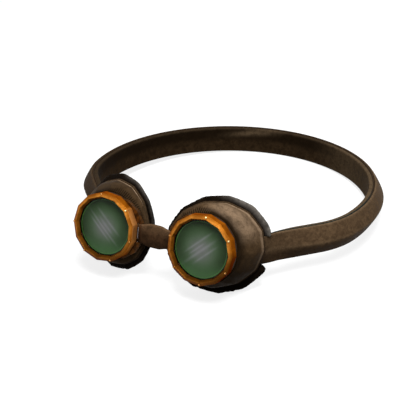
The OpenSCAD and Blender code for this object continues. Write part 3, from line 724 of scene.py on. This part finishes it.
# Each pin's hole runs the strip's whole height, and a window beside it leaves the pin bare towards the cup.
for side, sign in SIDES.items():
    pin_x = sign * reach - EYE_APART
    spin = circle(24)[None, :]
    high = np.array([-1.0, 1.0])[:, None] * BRIDGE_HEIGHT
    hole = at_eye("right", pin_x + PIN_HOLE * np.cos(spin), PIN_DEPTH + PIN_HOLE * np.sin(spin), high)
    cut_away(bridge, surface("pin_hole", hole))
    corner_x, corner_y = np.array([[-0.5, 2, 2, -0.5], [-2, -2, 2, 2]])[:, None] * LOOP_RADIUS
    high = np.array([-0.5, 0.5])[:, None] * WINDOW_HEIGHT
    window = at_eye("right", pin_x + sign * corner_x, PIN_DEPTH + corner_y, high)
    cut_away(bridge, surface("pin_window", window))
bridge.data.set_sharp_from_angle(angle=math.radians(50))
fit(bridge, bridge_hide, "nose_bridge")

# The head strap: an outer hide that is padded into a long ridge, a felt core, and two linings that meet at
# the back of the head. Its ends are thinned to single tabs and stitched inside the cups at the temples.
STRAP_HEIGHT = 18.8 * MM
STRAP_HALF = 2.4 * MM
COVER_THICK = 1.8 * MM
LINING_THICK = 1.2 * MM
LINING_STEP = 0.4 * MM
STRAP_SWELL = 5.3 * MM
TAB_SKIVE = 0.9 * MM
SKIVE_START = 13 * MM
TAB_CURVE = 21.0 * MM
TAB_HALF_HEIGHT = 6 * MM
TAB_WIDENS = 14 * MM
SWELL_START = 20 * MM
SWELL_RUN = 35 * MM
CREST = -0.2 * MM
CROWN_POWER = 1.25
STRAP_RIPPLE = 0.12 * MM
SHORT_RIPPLE = 9 * MM
LONG_RIPPLE = 23 * MM
EDGE_ROUND = 0.8 * MM
GROOVE = 1.1 * MM
LINING_START = 24.0 * MM
LINING_SPREAD = 20 * MM
BACK_REACH = 198.9 * MM
FLOOR_REST = 0.02 * MM
LEFT_SHADE_RUN = 115 * MM
LEFT_SHADE_FADE = 30 * MM
TAB_SHADE_RUN = 22 * MM
TAB_SHADE_FADE = 20 * MM
STRAP_STEPS = 721
CROSS_STEPS = 56
INNER_STEPS = 13
SEAM = STRAP_HALF - COVER_THICK
TAB_AXIS = EYE_HEIGHT - (RIM_DEPTH + RIM_ACROSS * math.sin(RIM_TURN)) * math.sin(EYE_TILT)
# Half the strap, seen from above: the tab, a bend outwards, a straight run, a bend inwards and the arc
# round the head. The headings are those at the ends of these stretches, outwards from straight back, and
# midway is the strap's middle, at the back of the head.
HEADINGS = np.radians([18, 18, 41, 41, 12, -90])
STRAIGHTS = np.array([23.0, 0, 26.0, 0, 0]) * MM
BEND_RADII = np.array([0, 25, 0, 50, 93]) * MM
bend_at = np.concatenate([[0], np.cumsum(STRAIGHTS + BEND_RADII * np.abs(np.diff(HEADINGS)))])
MIDWAY = bend_at[-1]
trace = np.linspace(0, MIDWAY, 6001)
heading = np.interp(trace, bend_at, HEADINGS)
between = (heading[1:] + heading[:-1]) / 2
trace_x = np.concatenate([[0], np.cumsum(np.sin(between))]) * trace[1]
trace_y = np.concatenate([[0], np.cumsum(np.cos(between))]) * trace[1]
trace_x, trace_y = trace_x - trace_x[-1], trace_y - trace_y[-1] + BACK_REACH


def half_run(s):
    """Distance from the nearer tab's end, for a distance s along the whole strap."""
    return MIDWAY - np.abs(MIDWAY - s)


def strap_edge(s, sign):
    """Height of the upper edge, for 1, or lower edge, for -1: the tab's, which eases into the strap's."""
    t = smooth(half_run(s) / TAB_WIDENS)
    return (TAB_AXIS + sign * TAB_HALF_HEIGHT) * (1 - t) + sign * STRAP_HEIGHT / 2 * t


def strap_inner(s):
    """Where the lining's inner face lies: beside the seam at its start, and a half thickness in later."""
    t = smooth((half_run(s) - LINING_START) / LINING_SPREAD)
    return (SEAM - LINING_THICK) * (1 - t) - STRAP_HALF * t


def edge_easing(z, low, top):
    """How far a face steps back in the quarter circle that rounds it off towards its low and top edges."""
    from_edge = np.minimum(z - low, top - z)
    return EDGE_ROUND - np.sqrt(EDGE_ROUND ** 2 - np.clip(EDGE_ROUND - from_edge, 0, EDGE_ROUND) ** 2)


def strap_crown(s, z):
    """How far the padding lifts the outer hide: all of it at the crest, less by a power of the way to an
    edge, and none at the tabs."""
    half = np.where(z > CREST, strap_edge(s, 1) - CREST, CREST - strap_edge(s, -1))
    lift = STRAP_SWELL * smooth((half_run(s) - SWELL_START) / SWELL_RUN)
    return lift * (1 - np.clip(np.abs(z - CREST) / half, 0, 1) ** CROWN_POWER)


def on_strap(s, p, z):
    """Points from a distance s along the strap, a distance p out from its middle line and a height z: the
    middle line's point, plus p square to it less the tab's hollow. The lower edge rests on the floor, and
    no point goes under it."""
    s, p, z = np.broadcast_arrays(s, p, z)
    run = half_run(s)
    bow = (1 - smooth((run - TAB_WIDENS) / TAB_WIDENS)) * (z - TAB_AXIS) ** 2 / (2 * TAB_CURVE)
    turn = np.interp(run, bend_at, HEADINGS)
    out = p - bow
    sign = np.where(s <= MIDWAY, 1.0, -1.0)
    points = at_strap(sign * (np.interp(run, trace, trace_x) + out * np.cos(turn)),
                      np.interp(run, trace, trace_y) - out * np.sin(turn), z)
    points[..., 2] = np.maximum(points[..., 2], FLOOR_REST)
    return points


strap_hide = hide("blotched_strap_hide", "#5A4733", "#413223", "#746049", "#1A1109", blotch=2.4 * MM,
                  grain=0.6 * MM)
s = np.linspace(0, 2 * MIDWAY, STRAP_STEPS)[:, None]
t = (0.5 - 0.5 * np.cos(np.linspace(0, math.pi, CROSS_STEPS)))[None, :]
low, top = strap_edge(s, -1), strap_edge(s, 1)
z = low + (top - low) * t
skin = STRAP_HALF - TAB_SKIVE * (1 - smooth((half_run(s) - SKIVE_START) / (LINING_START - SKIVE_START)))
ripple = STRAP_RIPPLE * np.sin(s / SHORT_RIPPLE + 4 * t) * np.sin(s / LONG_RIPPLE - 5 * t)
ripple = ripple * np.sin(math.pi * t)
outer_p = skin + strap_crown(s, z) - edge_easing(z, low, top) + ripple
turn_p = np.minimum(skin, SEAM + GROOVE)
inner_t = np.linspace(0.97, 0.03, INNER_STEPS)[None, :]
inner_z = low + (top - low) * inner_t
inner_p = SEAM + strap_crown(s, inner_z)
seam_p = np.full_like(s, SEAM)
p_grid = np.concatenate([seam_p, turn_p, outer_p, turn_p, seam_p, inner_p], 1)
z_grid = np.concatenate([low + GROOVE, low, z, top, top - GROOVE, inner_z], 1)
t_grid = np.concatenate([[0.0, 0.0], t[0], [1.0, 1.0], inner_t[0]])[None, :]
on_face = np.concatenate([np.zeros(2), np.ones(CROSS_STEPS), np.zeros(2 + INNER_STEPS)])[None, :]

# The hide is rubbed pale along both edges and the crest. Painted shade darkens it below the crest, at the
# tabs beside the cups and over the left end, and its inner side is half dark all over.
top_line = 0.35 * np.exp(-((1 - t_grid) / 0.035) ** 2)
low_line = 0.14 * np.exp(-(t_grid / 0.03) ** 2)
crest_t = (CREST - low) / (top - low)
crest_line = 0.25 * np.exp(-((t_grid - crest_t) / 0.06) ** 2)
left_end = smooth((LEFT_SHADE_RUN - half_run(s)) / LEFT_SHADE_FADE) * (s > MIDWAY)
worn = np.clip(top_line + low_line + crest_line, 0, 1) * (1 - 0.6 * left_end) * on_face
# Painted shade below the crest, beside the tabs and over the left end.
below_crest = 0.55 * smooth((crest_t - t_grid) / 0.25)
by_tab = 0.25 * smooth((TAB_SHADE_RUN - half_run(s)) / TAB_SHADE_FADE)
darkened = np.clip(below_crest + by_tab + SHADED["left"] * left_end, 0, 1)
cover = surface("strap_outer_hide", on_strap(s, p_grid, z_grid), crease=45,
                marks={"wear": worn, "shade": np.where(on_face > 0, darkened, 0.5)})
fit(cover, strap_hide, "strap_cover")

# The felt core: pressed wool, matt and fuzzy, that fills the strap's ridge between the outer hide and the
# linings.
FELT_FUZZ = 0.4 * MM
FELT_CLEAR = 0.05 * MM
CORE_START = 29.0 * MM
CORE_FILL = 0.88
felt, add, where = material("pressed_wool_felt")
fuzz = add("TexNoise", [where, 1 / FELT_FUZZ, 5.0, 0.7])
pale = add("MapRange", [fuzz, 0.3, 0.7], **SOFT)
dents = add("Bump", {"Height": fuzz, "Strength": 0.5, "Distance": 0.1 * MM})
tint = layered(add, "#A39782", (pale, "#C9BFAA"))
shade = add("BsdfPrincipled", {
    "Base Color": tint, "Roughness": 0.95, "Sheen Weight": 0.3, "Normal": dents})
add("OutputMaterial", [shade])
s = np.linspace(CORE_START, 2 * MIDWAY - CORE_START, 361)[:, None]
hem = LINING_STEP + LINING_THICK + FELT_CLEAR
t = np.linspace(0, 1, 17)[None, :]
low, top = strap_edge(s, -1) + hem, strap_edge(s, 1) - hem
z = low + (top - low) * t
outer_p = SEAM - FELT_CLEAR + CORE_FILL * strap_crown(s, z)
inner_p = strap_inner(s) + LINING_THICK + FELT_CLEAR
p_grid, z_grid = np.concatenate([outer_p, inner_p, inner_p], 1), np.concatenate([z, top, low], 1)
core = surface("strap_felt", on_strap(s, p_grid, z_grid), crease=50)
fit(core, felt, "strap_core")

# The linings: two strips of thin dark leather, turned in over the felt at their edges, sewn to the outer
# hide and butted at the back. The right one is browner near its tab, the left one has a long painted
# highlight near the back, and both are darker over their upper part.
LINING_BUTT = 0.003 * MM
HIGHLIGHT_RUN = 224 * MM
HIGHLIGHT_LONG = 13 * MM
HIGHLIGHT_UP = 6.0 * MM
HIGHLIGHT_HIGH = 2.6 * MM
HIGHLIGHT_SLANT = 4
BROWN_FADE = 45 * MM
lining_hide = hide("dark_lining_leather", "#35281A", "#23190F", "#5C4C39", "#110B06", blotch=3.2 * MM,
                   rough=(0.66, 0.82), bump=0.18)
for side, sign in SIDES.items():
    s = np.linspace(LINING_START, MIDWAY - LINING_BUTT, 321)[:, None]
    if sign < 0:
        s = 2 * MIDWAY - s
    low, top = strap_edge(s, -1) + LINING_STEP, strap_edge(s, 1) - LINING_STEP
    face_p = strap_inner(s)
    notch = GROOVE - LINING_STEP
    t = (0.5 - 0.5 * np.cos(np.linspace(0, math.pi, 25)))[None, :]
    z = low + (top - low) * t
    eased = np.minimum(edge_easing(z, low, top), (SEAM - notch - face_p) * 0.8)
    seam_p = np.full_like(s, SEAM)
    inner_face = face_p + LINING_THICK
    p_grid = np.concatenate([face_p + eased, seam_p - notch, seam_p, seam_p, inner_face, inner_face,
                             seam_p, seam_p, seam_p - notch], 1)
    z_grid = np.concatenate([z, top, top - notch, top - LINING_THICK, top - LINING_THICK,
                             low + LINING_THICK, low + LINING_THICK, low + notch, low], 1)
    t_grid = np.concatenate([t[0], np.ones(4), np.zeros(4)])[None, :]
    worn = 0.25 * np.exp(-((1 - t_grid) / 0.05) ** 2) + 0.3 * np.exp(-(t_grid / 0.05) ** 2)
    # A long painted highlight on the left lining near the back.
    if sign < 0:
        up = z_grid - HIGHLIGHT_UP
        slant = half_run(s) - HIGHLIGHT_RUN - HIGHLIGHT_SLANT * up
        worn = worn + 0.9 * np.exp(-(slant / HIGHLIGHT_LONG) ** 2 - (up / HIGHLIGHT_HIGH) ** 2)
    near_right = smooth((0.92 * MIDWAY - s) / BROWN_FADE)
    darkened = (0.75 - 0.6 * near_right) * smooth((t_grid - 0.38) / 0.3)
    worn = worn + 0.5 * near_right
    lining = surface(f"{side}_lining", on_strap(s, p_grid, z_grid), crease=45,
                     marks={"wear": worn, "shade": darkened})
    fit(lining, lining_hide, f"{side}_strap_lining")

# The pipings: waxed green cord, sewn into the grooves between the outer hide and the linings. The hide's
# wax browns the left half.
PIPING_RADIUS = 0.45 * MM
PIPING_EASE = 0.97
CORD_KNOT = 0.8 * MM
BROWNED_TO = 95 * MM
BROWNED_FADE = 40 * MM
cord_wax, add, where = material("waxed_green_cord")
knot = add("TexNoise", [where, 1 / CORD_KNOT, 3.0])
pale = add("MapRange", [knot, 0.35, 0.7], **SOFT)
browned = add("Attribute", attribute_name="browned").outputs["Fac"]
dents = add("Bump", {"Height": knot, "Strength": 0.4, "Distance": 0.1 * MM})
tint = layered(add, "#101511", (pale, "#1F2A28"), (browned, "#2A1E12"))
shade = add("BsdfPrincipled", {
    "Base Color": tint, "Roughness": 0.75, "Specular IOR Level": 0.05, "Normal": dents})
add("OutputMaterial", [shade])
s = np.linspace(LINING_START, 2 * MIDWAY - LINING_START, 601)[:, None]
spin = circle(12)[None, :]
wax_share = np.where(s > MIDWAY, 1, smooth((half_run(s) - BROWNED_TO) / BROWNED_FADE))
for place, edge, sign in (("top", strap_edge(s, 1), 1), ("bottom", strap_edge(s, -1), -1)):
    z = edge - sign * PIPING_RADIUS + PIPING_EASE * PIPING_RADIUS * np.sin(spin)
    p = SEAM + PIPING_EASE * PIPING_RADIUS * np.cos(spin)
    piping = surface(f"strap_{place}_piping", on_strap(s, p, z), marks={"browned": wax_share})
    fit(piping, cord_wax, f"strap_piping_{place}")

# The face cushions: soft black leather over foam, puffed out against the face. They flare past the rims,
# pull in beside the nose, and each gives way where the strap's tab passes at the temple.
PAD_FRONT = 2.1 * MM
PAD_THICK = 9.2 * MM
PAD_INNER = 10.4 * MM
PAD_FLARE = 5.6 * MM
PAD_NOSE_FLARE = 2.4 * MM
PAD_CHEEK_FLARE = 0.9 * MM
PAD_SLOPE = 0.8
PAD_UPRIGHT = 6 * MM
PAD_WIDEST = 0.14
STRAP_PRESS = 0.5 * MM
SOFT_GAP = 0.3 * MM
PAD_TAUTNESS = 0.35 * MM
PASSAGE_FROM = 4 * MM
PASSAGE_TO = 50 * MM
PASSAGE_OUT = 12 * MM
VOXEL = 1.3 * MM
SWELL_PRESSURE = 4.0
SWELL_LIMIT = 0.5 * MM
SWELL_FRAMES = 20
PUCKER_DEPTH = 0.16 * MM
PUCKERS = 58
SEAM_PULL = 2.2 * MM
HEM_PULL = 2.5 * MM
SHEEN_FLARE = 4.5 * MM
SHEEN_DEPTH = 9 * MM
SHEEN_FADE = 4 * MM
SHEEN_ANGLE = {"right": math.radians(44), "left": math.radians(140)}


def pad_section(a):
    """The cushion's section at angle a: twelve corners, out from the rim and back from the welt. Behind the
    widest place each corner leans in by a slope times its distance back, down to the upright inner part."""
    near_nose = ((1 - np.cos(a)) / 2) ** 1.5
    f = PAD_FLARE - (PAD_FLARE - PAD_NOSE_FLARE) * near_nose - PAD_CHEEK_FLARE * np.minimum(0, np.sin(a))
    lean = PAD_SLOPE * (0.35 + 0.65 * near_nose)
    i = -PAD_INNER + 0 * a
    out = np.stack([i + 2.6 * MM, -2 * MM + 0 * a, f - 2.4 * MM, f - 0.7 * MM, f, f - 0.4 * MM,
                    f - 1.6 * MM, f - 4 * MM, i + 4.2 * MM, i + 1.2 * MM, i, i + 0.7 * MM], -1)
    back = np.array([0, 0, 0, 0.04, PAD_WIDEST, 0.38, 0.66, 0.92, 1, 0.82, 0.5, 0.18])
    upright = -PAD_INNER + PAD_UPRIGHT
    leaned = out - (lean * PAD_THICK)[..., None] * np.maximum(0, back - PAD_WIDEST)
    return np.where(out > upright, np.maximum(upright, leaned), out), back * PAD_THICK + 0 * out


def rounded_through(points, steps):
    """A smooth closed curve through a closed row of points, along the last axis but one: between two points
    a cubic whose slope at each is half the step from the one before it to the one after it."""
    n = points.shape[-2]
    k = np.arange(n * steps) // steps
    u = ((np.arange(n * steps) % steps) / steps)[:, None]
    p0, p1, p2, p3 = (points[..., (k + d) % n, :] for d in (-1, 0, 1, 2))
    return 0.5 * (2 * p1 + (p2 - p0) * u + (2 * p0 - 5 * p1 + 4 * p2 - p3) * u ** 2
                  + (3 * p1 - p0 - 3 * p2 + p3) * u ** 3)


def read_points(mesh):
    """A mesh's points as an array."""
    flat = np.zeros(len(mesh.vertices) * 3, np.float32)
    mesh.vertices.foreach_get("co", flat)
    return flat.reshape(-1, 3).astype(float)


cushion_hide = hide("black_cushion_leather", "#1A130D", "#100B07", "#77716A", "#040302", blotch=5 * MM,
                    grain=1.0 * MM, rough=(0.62, 0.78), bump=0.2)
a = circle(RING_SIDES * 10)
for side, sign in SIDES.items():
    out, back = pad_section(a)
    section = rounded_through(np.stack([out, back], -1), 5)
    middle = section.mean(1, keepdims=True)
    arm = section - middle
    section = middle + arm * (1 - PAD_TAUTNESS / np.linalg.norm(arm, axis=-1, keepdims=True))
    ring = rim_point(a[:, None], section[..., 0], PAD_FRONT + section[..., 1])
    cushion = surface(f"{side}_cushion", at_eye(side, *np.moveaxis(ring, -1, 0)), round_u=True)

    # A passage for the strap's tab, which the cushion wraps from inside.
    s = np.linspace(PASSAGE_FROM, PASSAGE_TO, 47)[:, None]
    if sign < 0:
        s = 2 * MIDWAY - s
    low, top = strap_edge(s, -1) + STRAP_PRESS, strap_edge(s, 1) - STRAP_PRESS
    before_lining = half_run(s) < LINING_START - 3 * MM
    wall = np.where(before_lining, SEAM, np.minimum(SEAM, strap_inner(s))) - SOFT_GAP
    rise = np.linspace(1, 0, 9)[None, :]
    beside = np.full_like(s, PASSAGE_OUT)
    p_grid = np.concatenate([beside, beside, wall + 0 * rise], 1)
    z_grid = np.concatenate([low, top, low + (top - low) * rise], 1)
    cut_away(cushion, surface("strap_passage", on_strap(s, p_grid, z_grid)))
    even = cushion.modifiers.new("even", "REMESH")
    even.mode, even.voxel_size, even.adaptivity = "VOXEL", VOXEL, 0.0
    cushion.data = settled(cushion)
    cushion.modifiers.clear()

    # Air pressure puffs it, by the swell limit at most.
    start = read_points(cushion.data)
    cloth = cushion.modifiers.new("puff", "CLOTH")
    cloth.settings.use_pressure = True
    cloth.settings.uniform_pressure_force = SWELL_PRESSURE
    cloth.settings.effector_weights.gravity = 0.0
    for frame_number in range(1, SWELL_FRAMES + 1):
        bpy.context.scene.frame_set(frame_number)
    moved = read_points(settled(cushion)) - start
    length = np.linalg.norm(moved, axis=1, keepdims=True)
    moved *= np.minimum(1.0, SWELL_LIMIT / np.maximum(length, 1e-9))
    cushion.modifiers.clear()
    bpy.context.scene.frame_set(1)
    cushion.data.vertices.foreach_set("co", (start + moved).astype(np.float32).ravel())

    # Stitches pucker it along the welt and the inner hem, and a painted sheen lightens it on the outside.
    points = read_points(cushion.data)
    from_eye = points - eye_middle[side]
    out, back, up = sign * (from_eye @ ACROSS), from_eye @ BACK, from_eye @ UP
    around = np.arctan2(up, out - RIM_SHIFT)
    from_rim = np.stack([out, back, up], -1) - rim_point(around, 0.0, 0.0)
    flare = from_rim @ rim_x * np.cos(around) + from_rim @ rim_z * np.sin(around)
    behind = from_rim @ rim_back
    normals = np.zeros(len(points) * 3, np.float32)
    cushion.data.vertex_normals.foreach_get("vector", normals)
    tuck = np.exp(-((behind - PAD_FRONT) / SEAM_PULL) ** 2) + np.exp(-((flare + PAD_INNER) / HEM_PULL) ** 2)
    pucker = PUCKER_DEPTH * tuck * np.sin(PUCKERS * around + 2.3 * np.sin(5 * around))
    points = points + pucker[:, None] * normals.reshape(-1, 3)
    points[:, 2] = np.maximum(points[:, 2], FLOOR_REST)
    cushion.data.vertices.foreach_set("co", points.astype(np.float32).ravel())
    # Painted sheen on part of the upper flare, and painted shade over the lower half.
    upper = smooth((np.sin(around + 0.1) + 0.1) / 0.9)
    sheen_side = smooth((np.cos(around - SHEEN_ANGLE[side]) - 0.55) / 0.4)
    on_flare = smooth((flare - 0.6 * MM) / SHEEN_FLARE) * smooth((SHEEN_DEPTH - behind) / SHEEN_FADE)
    for key, value in {"wear": 0.8 * sheen_side * on_flare, "shade": 0.5 * (1 - upper)}.items():
        kept = cushion.data.attributes.new(key, "FLOAT", "POINT")
        kept.data.foreach_set("value", value.astype(np.float32))
    cushion.data.shade_smooth()
    cushion.data.update()
    finer = cushion.modifiers.new("finer", "SUBSURF")
    finer.levels = finer.render_levels = 1
    fit(cushion, cushion_hide, f"{side}_face_cushion")
